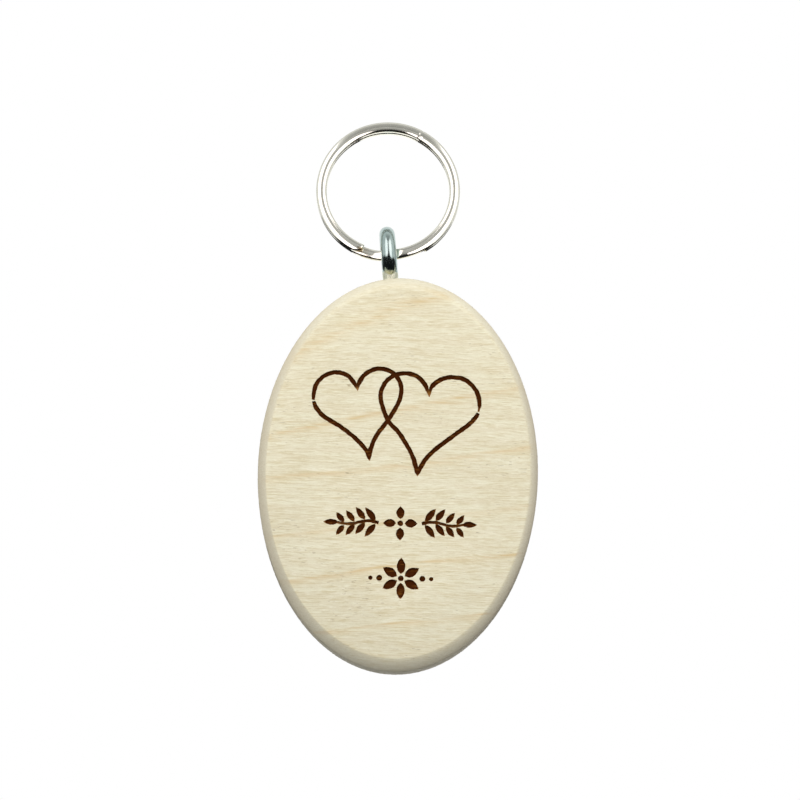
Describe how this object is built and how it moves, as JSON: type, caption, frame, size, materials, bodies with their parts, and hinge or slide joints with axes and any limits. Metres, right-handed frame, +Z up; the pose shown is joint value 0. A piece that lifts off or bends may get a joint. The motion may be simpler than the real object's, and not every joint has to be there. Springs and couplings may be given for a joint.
{
  "type": "keychain",
  "caption": "Keychain: a thick oval wooden tag with sanded rims, a bent-wire screw eye in its top edge and a two-coil split ring that swings in the eye.",
  "frame": {"origin": "inner top of the split ring, midway between its two coils: the point that a hook or key bears on", "axes": "+Z up along the tag's long axis, +X to the right as the engraved front is faced, the front looks along -Y; the ring leans back towards +Y as it does when the keychain lies on its back"},
  "size_m": [0.0482, 0.009, 0.0965],
  "materials": {
    "tag_wood": "fine-sanded, unvarnished light wood with burnt-in dark brown lines on the front",
    "eye_zinc": "bright zinc plating with a faint blue cast",
    "ring_nickel": "bright nickel plating, slightly warm"
  },
  "bodies": {
    "ring": {"split_ring": "ring_nickel"},
    "tag": {"wooden_tag": "tag_wood", "screw_eye": "eye_zinc"}
  },
  "joints": [
    {"name": "tag_swing", "type": "hinge", "parent": "ring", "child": "tag", "pos_m": [0, -0.00306, -0.02201], "axis": [1, 0, 0], "range_deg": [-146, 130]}
  ]
}
